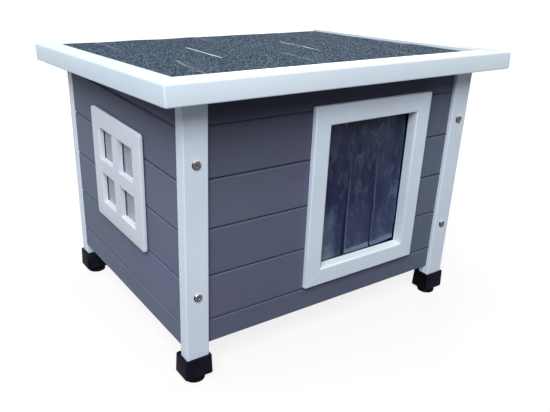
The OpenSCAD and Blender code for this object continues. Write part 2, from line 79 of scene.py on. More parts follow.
class Wire:
    # one output of a shader node; sums written on it add the Math nodes
    def __init__(self, finish, socket):
        self.finish = finish
        self.socket = socket

    def __add__(self, other):
        return self.finish.maths("ADD", self, other)

    def __radd__(self, other):
        return self.finish.maths("ADD", other, self)

    def __sub__(self, other):
        return self.finish.maths("SUBTRACT", self, other)

    def __rsub__(self, other):
        return self.finish.maths("SUBTRACT", other, self)

    def __mul__(self, other):
        return self.finish.maths("MULTIPLY", self, other)

    def __rmul__(self, other):
        return self.finish.maths("MULTIPLY", other, self)

    def __truediv__(self, other):
        return self.finish.maths("DIVIDE", self, other)


def opaque(colour):
    # a colour as a node's socket takes it
    return colour if isinstance(colour, Wire) else (*colour, 1)


class Finish:
    # the nodes of a material, or of the world, while they are put together
    def __init__(self, owner):
        owner.use_nodes = True
        self.owner = owner
        self.tree = owner.node_tree
        self.tree.nodes.clear()

    def add(self, kind, settings, sockets, out=0):
        node = self.tree.nodes.new("ShaderNode" + kind)
        for name, value in settings.items():
            if name == "stops":
                ramp = node.color_ramp
                while len(ramp.elements) < len(value):
                    ramp.elements.new(0.5)
                for element, (place, colour) in zip(ramp.elements, value):
                    element.position = place
                    element.color = (*colour, 1)
            else:
                setattr(node, name, value)
        for name, value in sockets.items():
            if isinstance(value, Wire):
                self.tree.links.new(value.socket, node.inputs[name])
            else:
                node.inputs[name].default_value = value
        return Wire(self, node.outputs[out]) if len(node.outputs) else None

    def maths(self, operation, *values):
        return self.add("Math", {"operation": operation}, dict(enumerate(values)))

    def place(self):
        return self.add("TexCoord", {}, {}, "Object")

    def facing(self):
        # the surface's direction in its own piece, so a tone made with it turns with the piece
        return self.add("TexCoord", {}, {}, "Normal")

    def rays(self, *kinds):
        return [self.add("LightPath", {}, {}, "Is " + kind + " Ray") for kind in kinds]

    def axis(self, where, name):
        return self.add("SeparateXYZ", {}, {0: where}, name)

    def stretched(self, where, scale):
        return self.add("VectorMath", {"operation": "MULTIPLY"}, {0: where, 1: scale})

    def noise(self, where, scale, detail, roughness=0.5, distortion=0.0):
        return self.add("TexNoise", {}, {
            "Vector": where, "Scale": scale, "Detail": detail,
            "Roughness": roughness, "Distortion": distortion})

    def streaks(self, where, scales, detail, roughness, distortion=0.0):
        # noise with its own scale along each axis
        return self.noise(self.stretched(where, scales), 1.0, detail, roughness, distortion)

    def grain(self, where, along, detail, roughness, distortion=0.0, finer=1.0):
        # noise drawn out along the wood
        scales = tuple(scale * finer for scale in grainScales[along])
        return self.streaks(where, scales, detail, roughness, distortion)

    def spread(self, value, low, high, to=(0.0, 1.0)):
        return self.add("MapRange", {}, {
            "Value": value, "From Min": low, "From Max": high, "To Min": to[0], "To Max": to[1]})

    def vary(self, noise, to):
        # nearly all of a noise lies between these two values
        return self.spread(noise, 0.3, 0.7, to)

    def rising(self, value, start, full, most):
        # nothing before the start, and this much from where it is full
        return self.spread(value, start, full, (0.0, most))

    def blend(self, amount, first, second):
        # a Mix node's two colours are its sockets 6 and 7, and its mixed colour is output 2
        return self.add("Mix", {"data_type": "RGBA"}, {0: amount, 6: opaque(first), 7: opaque(second)}, 2)

    def bump(self, height, depth, strength):
        return self.add("Bump", {}, {"Height": height, "Distance": depth, "Strength": strength})

    def done(self, shader, output="OutputMaterial"):
        self.add(output, {}, {"Surface": shader})
        return self.owner

    def coat(self, s, colour, roughness, height, strength=1.0, more=None):
        # the finished material, with the relief and the shine that the dictionary gives
        return self.done(self.add("BsdfPrincipled", {}, {
            "Base Color": opaque(colour), "Roughness": roughness,
            "Normal": self.bump(height, s["relief"], strength),
            "Specular IOR Level": s["shine"], **(more or {})}))


def startFinish(name):
    return Finish(bpy.data.materials.new(name))


# how fine the wood's grain is along X, Y and Z, by the axis that it follows
grainScales = {"x": (14, 420, 420), "y": (420, 14, 420), "z": (420, 420, 14)}

whitePaint = {
    # clean and greyed tones, and the tone of what faces up, a painted light and shade for faces turned to
    # the light above
    # each part has its own copy of the one white paint, set to its own level to match how that part is
    # lit: a painted light and shade
    "posts": ((0.67, 0.77, 0.905), (0.615, 0.705, 0.83), (0.67, 0.77, 0.905)),
    "door": ((0.67, 0.77, 0.905), (0.615, 0.705, 0.83), (0.84, 0.95, 1.0)),
    "window": ((0.63, 0.69, 0.80), (0.58, 0.635, 0.735), (0.66, 0.72, 0.80)),
    "front_trim": ((0.69, 0.80, 0.915), (0.655, 0.76, 0.87), (0.60, 0.69, 0.73)),
    "left_trim": ((0.62, 0.755, 0.87), (0.58, 0.71, 0.83), (0.60, 0.69, 0.73)),
    "right_trim": ((0.66, 0.75, 0.83), (0.62, 0.70, 0.78), (0.48, 0.52, 0.54)),
    "patches": 9.0,  # scale of the soft patches of greyed paint
    "brush": 2.2,  # how much finer the brush marks are than the grain
    "up": (0.5, 0.9),  # the upward slant at which its tone starts, and where it is full
    "roughness": (0.36, 0.5),
    "relief": 0.00014,
    "shine": 0.5,
}


def makeWhitePaint(along, part):
    s = whitePaint
    f = startFinish("white_paint_" + part + "_" + along)
    where = f.place()
    clean, greyed, upLightAndShade = s[part]
    grain = f.grain(where, along, 3.0, 0.55, 0.6)
    brush = f.grain(where, along, 2.0, 0.6, finer=s["brush"])
    cloud = f.noise(where, s["patches"], 3.0)
    colour = f.blend(f.spread(cloud * 0.7 + grain * 0.3, 0.38, 0.62), greyed, clean)
    # faces that turn up get their own tone, a painted light and shade from above
    upwards = f.axis(f.facing(), "Z")
    colour = f.blend(f.spread(upwards, *s["up"]), colour, upLightAndShade)
    return f.coat(s, colour, f.vary(grain, s["roughness"]), grain * 0.7 + brush * 0.3)


greyPaint = {
    "cool": (0.098, 0.125, 0.175),
    "purple": (0.103, 0.098, 0.188),
    "light": (0.13, 0.145, 0.22),
    "far": (0.119, 0.149, 0.212),
    # the top rows' darker tone, a painted shade under the eaves
    "upper": (0.064, 0.067, 0.104),
    "joint": (0.01, 0.011, 0.014),
    "sides": 1.3,  # the left wall is painted this much paler, a painted light on the lit side
    "rows": (0.0895, 0.0665),  # top of the lowest board, and the height of a row
    "steps": (7.31, 3.17),  # what a row and a piece of board add to the seed of its tone
    "patches": 7.0,
    "pores": 2.5,  # how much finer the pores are than the grain
    "purpleReach": (0.1, 0.8),  # how far the purple fades out beyond a wall's split, and its strength
    "purpleTop": (0.34, 0.25, 0.3),  # it fades from the second height to the first, to this share
    "farFrom": (0.15, 0.16),  # along the wall, where the far tone starts and is full
    "eaveShadeFrom": (0.245, 0.36),  # the heights where the upper tone, a painted shade under the eaves, starts and is full
    "eaveShadeEnd": (0.15, 0.19, 0.3),  # along the wall it fades between these, to this share
    "jointBand": (0.968, 0.978),  # a board's upper edge, as shares of its row
    "jointTop": (0.33, 0.34),  # no joint gets its painted shade above these heights
    "roughness": (0.52, 0.66),
    "relief": 0.0002,
    "shine": 0.06,
}


def makeGreyPaint(name, along, ends, lift, split=True, jointShade=0.0, upper=0.0, beyond=0.0):
    # ends: where a fresh piece of board starts along the wall, so that each has its own tone
    # lift: how much paler the wall is painted; for the left wall this is a painted light
    # the joint's painted shade: how much darker the upper edge of a board is, down in the joint
    # upper: how far the top rows turn to their own darker tone, a painted shade under the eaves
    # beyond: how far the boards on the door's far side turn to theirs
    s = greyPaint

    def shade(tone):
        return tuple(part * lift for part in s[tone])

    f = startFinish("grey_paint_" + name)
    where = f.place()
    run = f.axis(where, along.upper())
    rise = f.axis(where, "Z")
    low, high = s["rows"]
    rowStep, pieceStep = s["steps"]
    row = (rise - low) / high
    board = f.maths("FLOOR", row)
    piece = f.maths("GREATER_THAN", run, ends) * (pieceStep if split else 0.0)
    chance = f.add("TexWhiteNoise", {"noise_dimensions": "1D"}, {"W": board * rowStep + piece}, "Value")
    grain = f.grain(where, along, 4.0, 0.6, 0.8)
    pores = f.grain(where, along, 2.0, 0.5, finer=s["pores"])
    cloud = f.noise(where, s["patches"], 3.0)
    reach, strength = s["purpleReach"]
    top, full, least = s["purpleTop"]
    tint = f.spread(cloud, 0.35, 0.7) * f.spread(run, ends + reach, ends, (0.0, strength))
    tint = tint * f.spread(rise, top, full, (least, 1.0))
    base = f.blend(tint, shade("cool"), shade("purple"))
    colour = f.blend(chance * 0.35 + f.spread(grain, 0.45, 0.75, (0.0, 0.3)), base, shade("light"))
    if beyond:
        colour = f.blend(f.spread(run, *s["farFrom"], (0.0, beyond)), colour, shade("far"))
    # the top rows darken towards a painted shade under the eaves
    if upper:
        start, end, least = s["eaveShadeEnd"]
        amount = f.spread(rise, *s["eaveShadeFrom"], (0.0, upper)) * f.spread(run, start, end, (1.0, least))
        colour = f.blend(amount, colour, shade("upper"))
    # the upper edge of each board is painted darker, a painted shade down in the joint
    if jointShade:
        joint = f.spread(row - board, *s["jointBand"], (0.0, jointShade))
        colour = f.blend(joint * f.spread(rise, *s["jointTop"], (1.0, 0.0)), colour, s["joint"])
    return f.coat(s, colour, f.vary(grain, s["roughness"]), grain * 0.65 + pores * 0.35)


bareWood = {
    "pale": (0.50, 0.40, 0.28),
    "ring": (0.34, 0.24, 0.145),
    "doorwayShade": (0.022, 0.027, 0.045),  # painted shade on the floor just inside the doorway
    "doorway": (-0.07, -0.10),  # from back to front, where that tone starts and is full
    "ground": (0.12, 0.11),  # and the same from above downwards
    # how close the growth rings are along X, Y and Z, by the axis that the wood follows
    "bands": {"x": (1.2, 9, 22), "y": (9, 1.2, 22), "z": (9, 22, 1.2)},
    "roughness": (0.55, 0.72),
    "relief": 0.00018,
    "shine": 0.5,
}


def makeBareWood(along):
    s = bareWood
    f = startFinish("bare_wood_" + along)
    where = f.place()
    rings = f.add("TexWave", {"wave_type": "BANDS", "bands_direction": "DIAGONAL"}, {
        "Vector": f.stretched(where, s["bands"][along]),
        "Scale": 2.4, "Distortion": 5.0, "Detail": 3.0, "Detail Scale": 1.2}, "Fac")
    fibre = f.grain(where, along, 4.0, 0.6)
    colour = f.blend(f.spread(rings, 0.35, 1.0) * 0.6 + fibre * 0.3, s["pale"], s["ring"])
    # the floor just inside the doorway is painted dark, a painted shade
    back, rise = f.axis(where, "Y"), f.axis(where, "Z")
    inside = f.spread(back, *s["doorway"]) * f.spread(rise, *s["ground"])
    colour = f.blend(inside, colour, s["doorwayShade"])
    return f.coat(s, colour, f.vary(fibre, s["roughness"]), fibre)


shingleFelt = {
    "grain": 760.0,  # granules to the metre
    "clumps": 240.0,  # clumps of them to the metre
    "dark": (0.003, 0.006, 0.011),
    "middle": (0.019, 0.037, 0.062),
    "pale": (0.29, 0.38, 0.49),
    "middleFrom": (0.42, 0.66),  # from here to there a granule has the middle tone
    "roughness": 0.88,
    "relief": 0.0006,
    "shine": 0.03,
}


def makeFelt():
    s = shingleFelt
    f = startFinish("roofing_felt")
    where = f.place()
    chips, gap = (f.add("TexVoronoi", {"feature": "F1"}, {
        "Vector": where, "Scale": s["grain"], "Randomness": 1.0}, out) for out in ("Color", "Distance"))
    chance = f.add("SeparateColor", {}, {0: chips}, 0)
    start, end = s["middleFrom"]
    shades = f.add("ValToRGB", {"stops": (
        (0.0, s["dark"]), (start, s["middle"]), (end, s["middle"]), (1.0, s["pale"]))},
        {"Fac": chance}, "Color")
    clumps = f.noise(where, s["clumps"], 3.0, 0.7)
    colour = f.blend(f.spread(clumps, 0.42, 0.62, (0.0, 0.4)), shades, s["middle"])
    height = f.spread(gap, 0.0, 0.7, (1.0, 0.0)) * 0.7 + chance * 0.3
    return f.coat(s, colour, s["roughness"], height)


slotFelt = {
    "plain": (0.019, 0.037, 0.062),
    "dustAndHighlight": (0.49, 0.56, 0.645),
    # from front to back the pale dust and painted highlight grows between the first two places and goes
    # between the last two
    "dustAndHighlightReach": ((-0.045, -0.035), (0.085, 0.095)),
    "before": 0.3,  # the shares of it that lie outside them
    "after": 0.25,
    "grit": 420.0,
    "patches": 16.0,
    "roughness": 0.85,
    "relief": 0.0004,
    "shine": 0.1,
}


def makeSlotFelt():
    # the sheet seen in the slots, dusted with pale grit that is also a painted highlight on the tabs' cut
    # edges, most of it in the middle course
    s = slotFelt
    f = startFinish("felt_in_slots")
    where = f.place()
    back = f.axis(where, "Y")
    grit = f.noise(where, s["grit"], 3.0, 0.7)
    patch = f.noise(where, s["patches"], 2.0)
    start, end = s["dustAndHighlightReach"]
    dustAndHighlightReach = f.spread(back, *start, (s["before"], 1.0)) * f.spread(back, *end, (1.0, s["after"]))
    # pale patches: dust, and a painted highlight where the tabs' edges catch light
    pale = f.blend(f.spread(patch, 0.36, 0.56, (0.35, 1.0)) * dustAndHighlightReach, s["plain"], s["dustAndHighlight"])
    colour = f.blend(f.spread(grit, 0.5, 0.72), pale, s["plain"])
    return f.coat(s, colour, s["roughness"], grit)


blackPlastic = {
    "colour": (0.0057, 0.0063, 0.0125),
    "worn": (0.0105, 0.012, 0.020),
    "inner": (0.0015, 0.0016, 0.002),  # painted shade on the right caps' side under the house
    "leftwards": (-0.3, -0.8),  # the slant at which that tone starts and is full
    "rightHalf": (0.0, 0.05),  # along the front, where it starts and is full
    "pits": 1500.0,
    "patches": 60.0,
    "roughness": (0.5, 0.62),
    "relief": 0.00008,
    "shine": 0.03,
}


def makeBlackPlastic():
    s = blackPlastic
    f = startFinish("black_plastic")
    where = f.place()
    pits = f.noise(where, s["pits"], 2.0)
    cloud = f.noise(where, s["patches"], 3.0, 0.6)
    colour = f.blend(f.spread(cloud, 0.4, 0.7), s["colour"], s["worn"])
    # the right caps' sides that face under the house are painted darker, a painted shade
    sideways, across = f.axis(f.facing(), "X"), f.axis(where, "X")
    inner = f.spread(sideways, *s["leftwards"]) * f.spread(across, *s["rightHalf"])
    colour = f.blend(inner, colour, s["inner"])
    return f.coat(s, colour, f.vary(cloud, s["roughness"]), pits)


zincSteel = {
    "light": (0.17, 0.163, 0.16),
    "dark": (0.07, 0.053, 0.042),
    "lit": (0.72, 0.72, 0.72),  # rims that face up
    "litFrom": (0.15, 0.6),  # the tilt at which that tone starts and is full
    "shade": (0.03, 0.03, 0.032),  # rims that face down or aside
    "shadeFrom": (-0.1, -0.5),
    "patches": 420.0,
    "scuffs": (900, 900, 3000),
    "roughness": (0.26, 0.42),
    "relief": 0.00003,
    "shine": 0.5,
    "metal": 0.95,
}


def makeSteel():
    s = zincSteel
    f = startFinish("steel")
    where = f.place()
    cloud = f.noise(where, s["patches"], 4.0, 0.6)
    scuff = f.streaks(where, s["scuffs"], 3.0, 0.6)
    colour = f.blend(f.spread(cloud, 0.35, 0.7), s["light"], s["dark"])
    aside, upwards = f.axis(f.facing(), "X"), f.axis(f.facing(), "Z")
    tilt = upwards - aside * aside
    colour = f.blend(f.spread(tilt, *s["litFrom"]), colour, s["lit"])
    colour = f.blend(f.spread(tilt, *s["shadeFrom"]), colour, s["shade"])
    return f.coat(s, colour, f.vary(cloud, s["roughness"]), scuff, more={"Metallic": s["metal"]})


stripSheet = {
    # the lower tone is a painted reflection of the lit sill and floor
    "upper": (0.018, 0.024, 0.067),
    "lower": (0.017, 0.024, 0.092),
    "milk": (0.20, 0.27, 0.36),
    "edge": (0.115, 0.16, 0.29),  # light caught by the cut edge
    "hem": (0.125, 0.175, 0.265),  # light caught by the hem
    "shade": (0.001, 0.003, 0.018),  # beside the next strip's edge
    "alpha": (0.72, 0.95),
    # how fine each kind of mark is along X, Y and Z
    "haze": (26, 26, 11),
    "blotches": (75, 75, 42),
    "scratches": (900, 900, 26),
    "waves": (14, 14, 5),
    # how milky the first three make it, and how much lighter the lower part is, a painted reflection of
    # the lit sill and floor: start, full, and how much that adds
    "hazeAndReflection": ((0.42, 0.75, 0.18), (0.5, 0.72, 0.2), (0.56, 0.8, 0.16), (0.35, 0.0, 0.1)),
    "rightStrip": (0.2, 0.9, (0.02, 0.06)),  # and the right strip's right part
    "wearAndReflectionTo": (0.75, 0.56),  # the left strip is worn and given a painted reflection from its left edge to here
    "wearAndReflection": ((0.40, 0.28, 0.24), (0.14, 0.02, 0.14)),  # and upwards: start, full, how much it adds
    "lowerReflectionFrom": (0.85, 0.35),
    # the cut edge's light: a thin and a broad band across, and its rise from top to hem
    "edgeBands": ((0.042, 0.022, 0.7), (0.13, 0.0, 0.25)),
    "edgeRise": (0.78, 0.35, (0.15, 1.0)),
    "hemBand": (0.030, 0.022),
    "hemSway": (0.03, 0.012),  # how much the band wavers, and falls from left to right
    "hemLight": (0.95, 0.65),  # on the middle and on the right strip
    "wedge": (0.105, 0.052),  # its width at the hem of the left and of the middle strip
    "wedgeEdge": (0.99, 1.004),
    "bend": (1.45, 1.5),  # refraction, for the clearness and for the shine
    "roughness": (0.10, 0.26),
    "relief": 0.004,
    "shine": 0.10,
}


def makeStripSheet():
    # up and across run from 0 to 1 on each strip
    s = stripSheet
    f = startFinish("clear_strip")
    where = f.place()
    flat = f.add("UVMap", {"uv_map": "UVMap"}, {})
    up = f.axis(flat, "Y")
    run = f.axis(flat, "X")
    order = f.maths("FLOOR", run * 0.5)  # 0, 1 and 2 from the left strip to the right one
    across = run - order * 2.0
    firstOnly = f.spread(order, 0.0, 1.0, (1.0, 0.0))
    lastOnly = f.spread(order, 1.0, 2.0)
    allButFirst = f.spread(order, 0.0, 1.0)
    allButLast = f.spread(order, 1.0, 2.0, (1.0, 0.0))
    haze = f.streaks(where, s["haze"], 5.0, 0.62, 0.4)
    blotch = f.streaks(where, s["blotches"], 4.0, 0.6, 0.8)
    scratch = f.streaks(where, s["scratches"], 3.0, 0.7)
    wave = f.streaks(where, s["waves"], 2.0, 0.4)
    hazeAndReflection = lastOnly * f.spread(across, *s["rightStrip"])
    for mark, most in zip((haze, blotch, scratch, up), s["hazeAndReflection"]):
        hazeAndReflection = hazeAndReflection + f.rising(mark, *most)
    # the left strip's lower part turns milky: wear, and a painted reflection of the lit floor
    worn = f.spread(across, *s["wearAndReflectionTo"]) * firstOnly
    for most in s["wearAndReflection"]:
        hazeAndReflection = hazeAndReflection + worn * f.rising(up, *most)
    # towards the hem the tone turns to the lower one, a painted reflection
    colour = f.blend(f.spread(up, *s["lowerReflectionFrom"]), s["upper"], s["lower"])
    colour = f.blend(hazeAndReflection, colour, s["milk"])
    thin, broad = (f.rising(across, *band) for band in s["edgeBands"])
    lit = (thin + broad) * f.spread(up, *s["edgeRise"]) * allButFirst
    colour = f.blend(lit, colour, s["edge"])
    # the hem's light, of which the left strip has none
    waver, fall = s["hemSway"]
    hem = f.spread(up + (haze - 0.5) * waver - across * fall, *s["hemBand"]) * allButFirst
    colour = f.blend(hem * f.spread(order, 1.0, 2.0, s["hemLight"]), colour, s["hem"])
    # the dark wedge beside the next strip, from a hair line at the top
    lap = f.spread(up, 0.85, 0.0) * f.spread(order, 0.0, 1.0, s["wedge"])
    shade = f.spread(across + lap, *s["wedgeEdge"]) * allButLast
    colour = f.blend(shade, colour, s["shade"])
    gloss = f.add("Fresnel", {}, {"IOR": s["bend"][0]})
    alpha = f.spread(gloss, 0.03, 0.6, s["alpha"]) + hazeAndReflection * 0.4 + hem * 0.3 + shade
    roughness = f.spread(haze, 0.3, 0.8, s["roughness"])
    return f.coat(s, colour, roughness, wave, 0.6, {"Alpha": alpha, "IOR": s["bend"][1]})


paneSheet = {
    "clear": (0.50, 0.57, 0.64),
    "hazy": (0.575, 0.6555, 0.736),
    "alpha": (0.47, 0.76),
    "patches": 22.0,
    "bend": 1.5,
    "roughness": (0.05, 0.12),
    "relief": 0.0008,
    "shine": 0.5,
}


def makePane():
    s = paneSheet
    f = startFinish("clear_sheet")
    haze = f.noise(f.place(), s["patches"], 4.0, 0.6)
    gloss = f.add("Fresnel", {}, {"IOR": s["bend"]})
    colour = f.blend(f.spread(haze, 0.35, 0.7), s["clear"], s["hazy"])
    alpha = f.spread(gloss, 0.04, 0.6, s["alpha"])
    return f.coat(
        s, colour, f.vary(haze, s["roughness"]), haze, 0.5, {"Alpha": alpha, "IOR": s["bend"]})


white = {part: {along: makeWhitePaint(along, part) for along in grains} for part, grains in (
    ("posts", "z"), ("door", "xz"), ("window", "yz"),
    ("front_trim", "x"), ("left_trim", "y"), ("right_trim", "y"))}
greyFront = makeGreyPaint("front", "x", 0.05, 1.0, jointShade=0.35, upper=1.0, beyond=0.55)
greyLeft = makeGreyPaint("left", "y", 0.01, greyPaint["sides"], jointShade=0.45, upper=0.5)
greyBack = makeGreyPaint("back", "x", 0.05, 1.0, split=False)
greyRight = makeGreyPaint("right", "y", 0.01, 1.0, split=False)
wood = {along: makeBareWood(along) for along in "xyz"}
felt = makeFelt()
paleFelt = makeSlotFelt()
black = makeBlackPlastic()
steel = makeSteel()
stripClear = makeStripSheet()
paneClear = makePane()

finishes = (
    (white["posts"]["z"], "post_"),
    (white["door"]["z"], "door_frame_left door_frame_right"),
    (white["door"]["x"], "door_frame_head door_frame_sill"),
    (white["window"]["z"], "window_frame_back window_frame_front muntin_upright"),
    (white["window"]["y"], "window_frame_head window_frame_sill muntin_cross"),
    (white["front_trim"]["x"], "roof_trim_front"),
    (white["left_trim"]["y"], "roof_trim_left"),
    (white["right_trim"]["y"], "roof_trim_right"),
    (greyFront, "front_board_"),
    (greyLeft, "left_board_"),
    (greyBack, "back_boards"),
    (greyRight, "right_boards"),
    (wood["x"], "floor_panel roof_deck curtain_rail curtain_clamp hinge_rail"),
    (wood["y"], "floor_bearers"),
    (wood["z"], "corner_cleats"),
    (felt, "roof_felt"),
    (black, "foot_cap_ levelling_foot_"),
    (steel, "post_screws hinge_"),
    (stripClear, "curtain_strip_"),
    (paneClear, "window_pane"),
)


def finishFor(name):
    # the longest opening of a name wins, so hinge_rail stays wood
    found = [(len(start), material) for material, starts in finishes
             for start in starts.split() if name.startswith(start)]
    return max(found, key=lambda pair: pair[0])[1]


for name, node in nodes.items():
    for materialSlot in node.material_slots:
        materialSlot.material = finishFor(name)
print("materials made:", len(bpy.data.materials))

studio = {
    "floor": 12.0,  # half the floor's width
    "floorColour": (0.14, 0.14, 0.15),
    "floorGlow": ((0.35, 0.84), (1.1, 1.0)),  # (distance from the house, glow)
    "sky": (0.86, 0.92, 1.0),
    "skyStrength": 0.08,
    "aim": (0.0, 0.0, 0.2),  # what all lamps point at
    "lamps": (
        # name, place, width and height, power, colour
        ("front_lamp", (-1.8, -2.2, 2.85), (1.9, 2.2), 176.0, (1.0, 0.99, 0.97)),
        ("left_lamp", (-2.5, 0.9, 2.6), (1.6, 1.9), 32.0, (1.0, 0.99, 0.98)),
        ("top_lamp", (-0.1, 0.2, 2.5), (0.9, 0.9), 16.0, (1.0, 0.99, 0.98)),
        ("back_lamp", (2.2, 2.6, 1.5), (1.4, 1.4), 45.0, (1.0, 0.99, 0.98)),
    ),
}


def addFloor(s):
    half = s["floor"]
    corners = [(-half, -half, 0), (half, -half, 0), (half, half, 0), (-half, half, 0)]
    mesh = bpy.data.meshes.new("floor")
    mesh.from_pydata(corners, [], [(0, 1, 2, 3)])
    floor = bpy.data.objects.new("floor", mesh)
    show(floor)
    f = startFinish("studio_floor")
    seen, mirrored, through = f.rays("Camera", "Glossy", "Transmission")
    (near, dim), (far, full) = s["floorGlow"]
    away = f.add("VectorMath", {"operation": "LENGTH"}, {0: f.place()}, "Value")
    strength = (f.maths("MAXIMUM", seen, mirrored) + through) * f.spread(away, near, far, (dim, full))
    glow = f.add("Emission", {}, {"Color": (1, 1, 1, 1), "Strength": strength})
    matt = f.add("BsdfDiffuse", {}, {"Color": opaque(s["floorColour"])})
    mesh.materials.append(f.done(f.add("AddShader", {}, {0: matt, 1: glow})))


def addWorld(s):
    # white where it is looked at, and a dim sky for the light
    f = Finish(bpy.data.worlds.new("studio"))
    bpy.context.scene.world = f.owner
    seen, through, mirrored = f.rays("Camera", "Transmission", "Glossy")
    looked = f.maths("MAXIMUM", f.maths("MAXIMUM", seen, through), mirrored)
    soft = f.add("Background", {}, {"Color": opaque(s["sky"]), "Strength": s["skyStrength"]})
    plain = f.add("Background", {}, {"Color": (1, 1, 1, 1)})
    f.done(f.add("MixShader", {}, {0: looked, 1: soft, 2: plain}), "OutputWorld")


def addLamps(s):
    for name, place, (wide, tall), power, colour in s["lamps"]:
        data = bpy.data.lights.new(name, "AREA")
        data.shape = "RECTANGLE"
        data.size, data.size_y, data.energy, data.color = wide, tall, power, colour
        lamp = bpy.data.objects.new(name, data)
        lamp.location = place
        away = Vector(s["aim"]) - Vector(place)
        lamp.rotation_euler = away.to_track_quat("-Z", "Y").to_euler()
        show(lamp)


addFloor(studio)
addWorld(studio)
addLamps(studio)
print("studio set")


def choose(*things):
    # selects these alone, the first of them as the active one, or nothing at all
    if bpy.context.mode != "OBJECT":
        bpy.ops.object.mode_set(mode="OBJECT")
    bpy.ops.object.select_all(action="DESELECT")
    for thing in things:
        thing.select_set(True)
    if things:
        bpy.context.view_layer.objects.active = things[0]


def work(thing, steps):
    # opens a piece for editing, runs the steps on it and closes it again
    choose(thing)
    bpy.ops.object.mode_set(mode="EDIT")
    steps()
    bpy.ops.object.mode_set(mode="OBJECT")


def selectAll():
    bpy.ops.mesh.select_all(action="SELECT")


def startPicking(kind):
    bpy.ops.mesh.select_all(action="DESELECT")
    bpy.ops.mesh.select_mode(type=kind)
    return bmesh.from_edit_mesh(bpy.context.object.data)


def pickFaces(test):
    # selects the faces whose middle and normal pass the test
    mesh = startPicking("FACE")
    for face in mesh.faces:
        face.select_set(bool(test(face.calc_center_median(), face.normal)))
    bmesh.update_edit_mesh(bpy.context.object.data)


def pickEdges(test):
    # selects the edges whose middle and direction pass the test
    mesh = startPicking("EDGE")
    for edge in mesh.edges:
        start, end = edge.verts[0].co, edge.verts[1].co
        edge.select_set(bool(test((start + end) / 2, (end - start).normalized())))
    bmesh.update_edit_mesh(bpy.context.object.data)


def extrude(x, y, z):
    bpy.ops.mesh.extrude_region_move(TRANSFORM_OT_translate={"value": (x, y, z)})


def settle():
    # puts the new primitive's place, turn and size into its mesh
    bpy.ops.object.transform_apply(location=True, rotation=True, scale=True)
    return bpy.context.object


def addCube(size, place=(0, 0, 0), turn=0.0):
    choose()
    bpy.ops.mesh.primitive_cube_add(size=1, location=place, rotation=(0, 0, turn))
    bpy.context.object.scale = size
    return settle()


def addCylinder(sides, radius, tall, middle=0.0):
    # stands upright, its middle at that height
    choose()
    bpy.ops.mesh.primitive_cylinder_add(
        vertices=sides, radius=radius, depth=tall, location=(0, 0, middle))
    return settle()


def addModifier(thing, kind, settings):
    modifier = thing.modifiers.new(kind.lower(), kind)
    for name, value in settings.items():
        setattr(modifier, name, value)
    bpy.context.view_layer.objects.active = thing
    bpy.ops.object.modifier_apply(modifier=modifier.name)


def cutWith(thing, tool):
    # takes the tool's shape out of the thing, and then the tool away
    addModifier(thing, "BOOLEAN", {"operation": "DIFFERENCE", "object": tool, "solver": "EXACT"})
    bpy.data.objects.remove(tool)


def copyTo(thing, name, matrix):
    copy = thing.copy()
    copy.data = thing.data.copy()
    copy.name = copy.data.name = name
    copy.data.transform(matrix)
    show(copy)
    return copy


def joinAs(things, name):
    choose(*things)
    bpy.ops.object.join()
    things[0].name = things[0].data.name = name
    return things[0]


def finishPiece(thing, material, angle=35):
    # edges that turn by less than the angle are shaded smooth
    choose(thing)
    bpy.ops.object.shade_smooth_by_angle(angle=math.radians(angle))
    thing.data.materials.clear()
    thing.data.materials.append(material)
    return thing


postScrew = {
    "headRadius": 0.0058,
    "headHeight": 0.0024,
    "round": 0.0013,
    "shank": (0.002, 0.030),  # radius and length
    "cross": (0.0074, 0.0013, 0.0013),  # length, width and depth of the recess
    "taper": 0.55,  # its bottom's size against its top's
    "sides": 28,
    "across": 0.2305,
    "faces": (-0.186, 0.203),  # the posts' front and back faces
    "heights": (0.133, 0.313),
}


def cutCross(head, s):
    length, width, depth = s["cross"]
    top = s["headHeight"]
    for turn in (0, math.pi / 2):
        wing = addCube((length, width, 2 * depth), (0, 0, top), turn)

        def taper():
            pickFaces(lambda middle, normal: normal.z < -0.9)
            bpy.ops.transform.resize(value=(s["taper"], s["taper"], 1), center_override=(0, 0, top))

        work(wing, taper)
        cutWith(head, wing)


def modelPanScrew(s):
    # its head stands on z = 0, and its shank points down
    head = addCylinder(s["sides"], s["headRadius"], s["headHeight"], s["headHeight"] / 2)

    def shape():
        pickFaces(lambda middle, normal: normal.z > 0.9)
        bpy.ops.mesh.bevel(offset=s["round"], segments=4)
        pickFaces(lambda middle, normal: normal.z < -0.9)
        bpy.ops.mesh.inset(thickness=s["headRadius"] - s["shank"][0])
        extrude(0, 0, -s["shank"][1])

    work(head, shape)
    cutCross(head, s)
    return head


def addPostScrews(s):
    random.seed(4)
    head = modelPanScrew(s)
    screws = []
    for face in s["faces"]:
        outwards = math.pi / 2 if face < 0 else -math.pi / 2
        for across in (-s["across"], s["across"]):
            for height in s["heights"]:
                turn = Matrix.Rotation(random.uniform(0, math.pi), 4, "Z")
                place = Matrix.Translation((across, face, height)) @ Matrix.Rotation(outwards, 4, "X")
                screws.append(copyTo(head, "screw", place @ turn))
    bpy.data.objects.remove(head)
    piece = finishPiece(joinAs(screws, "post_screws_crossed"), steel)
    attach(piece, "cabin")
    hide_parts("post_screws")


addPostScrews(postScrew)
print("post screws done")

houseMiddle = 0.0085  # along Y, halfway between the front and the back wall

